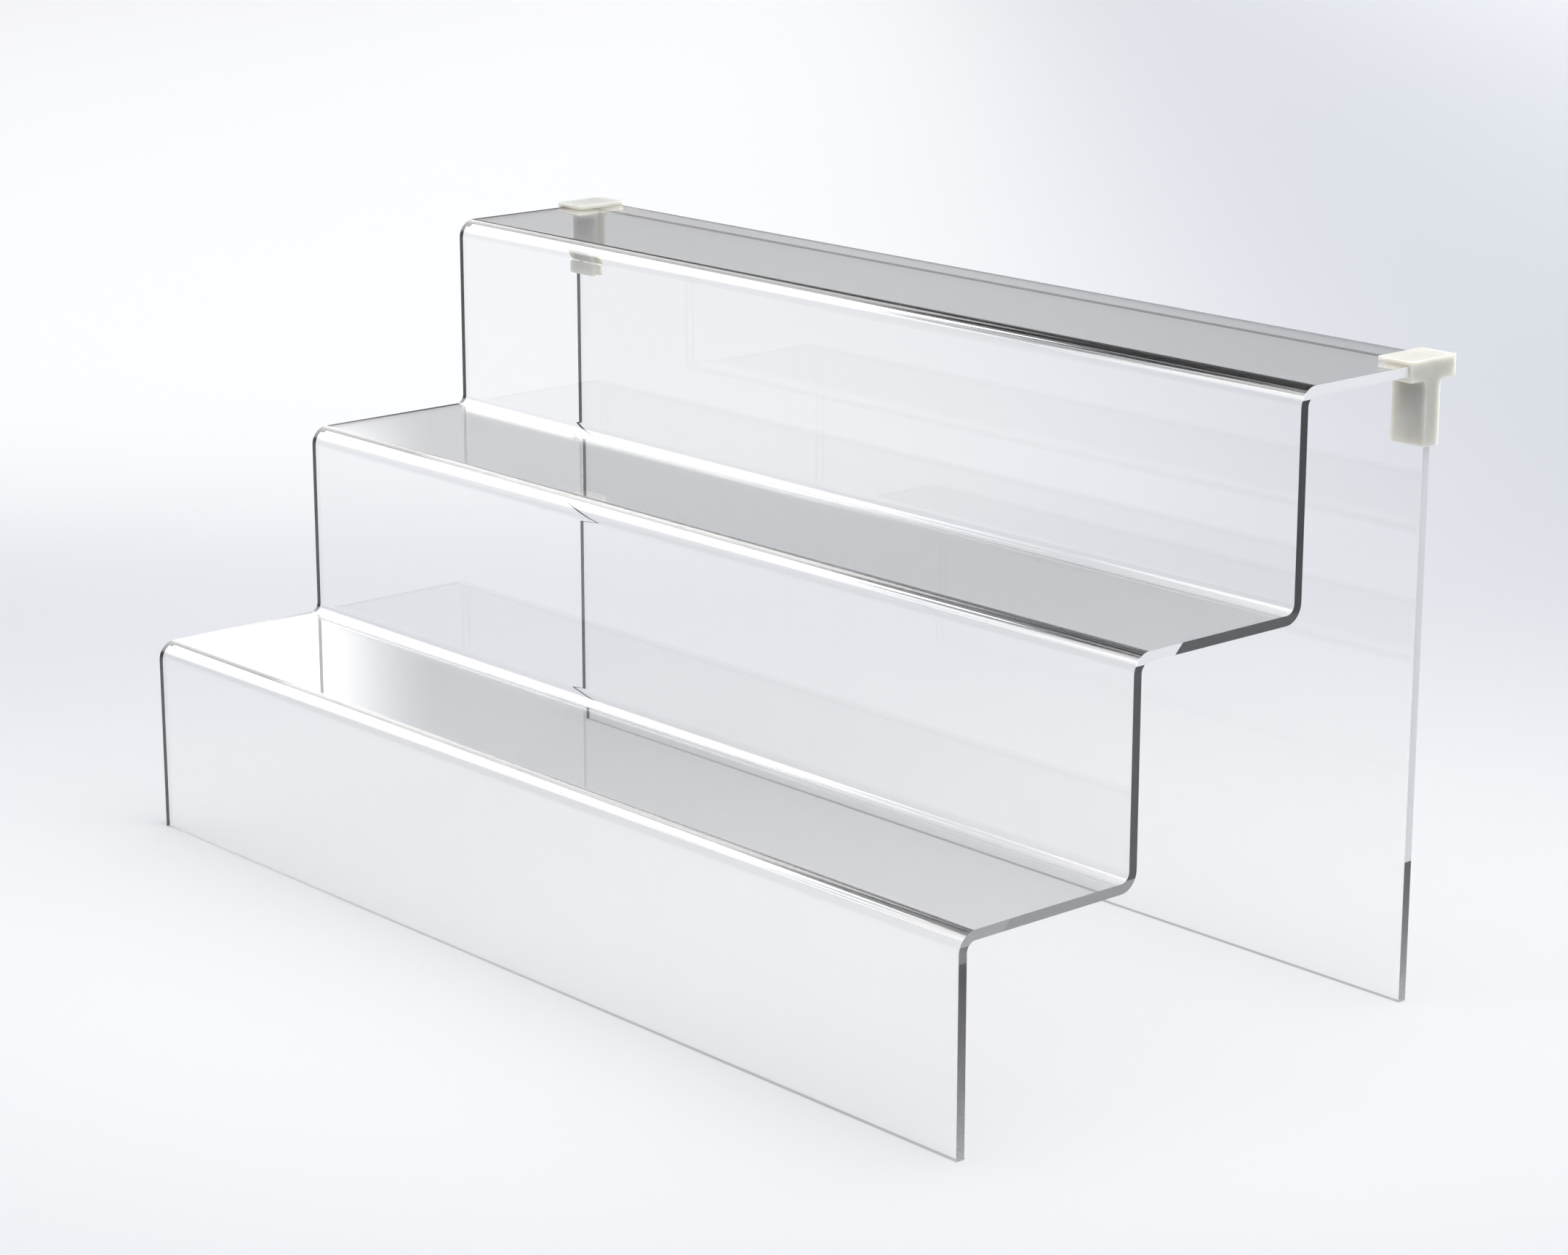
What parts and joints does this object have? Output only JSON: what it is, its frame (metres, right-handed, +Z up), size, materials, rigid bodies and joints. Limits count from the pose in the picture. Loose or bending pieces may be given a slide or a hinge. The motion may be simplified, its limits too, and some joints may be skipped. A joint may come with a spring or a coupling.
{
  "type": "tiered shelf riser",
  "caption": "Clear stepped riser: a heat-bent acrylic sheet forms the tiers, a flat panel stands behind it, and T-shaped plastic clips lock the two together at the rear corners.",
  "frame": {"origin": "on the surface that the riser stands on, midway between its ends, its front and its back", "axes": "+X along the tiers, +Y from the front riser to the back panel, +Z up"},
  "size_m": [0.6148, 0.3048, 0.3074],
  "materials": {
    "clear_acrylic": "gloss",
    "frosted_plastic": "satin"
  },
  "bodies": {
    "panel": {"back_panel": "clear_acrylic"},
    "shelf": {"stepped_shelf": "clear_acrylic"},
    "left_clip": {"left_clip": "frosted_plastic"},
    "right_clip": {"right_clip": "frosted_plastic"}
  },
  "joints": [
    {"name": "shelf_lift", "type": "slide", "parent": "panel", "child": "shelf", "axis": [0, 0, 1], "range_m": [0, 0.04]},
    {"name": "left_clip_pull", "type": "slide", "parent": "shelf", "child": "left_clip", "axis": [-1, 0, 0], "range_m": [0, 0.025]},
    {"name": "right_clip_pull", "type": "slide", "parent": "shelf", "child": "right_clip", "axis": [1, 0, 0], "range_m": [0, 0.025]}
  ]
}
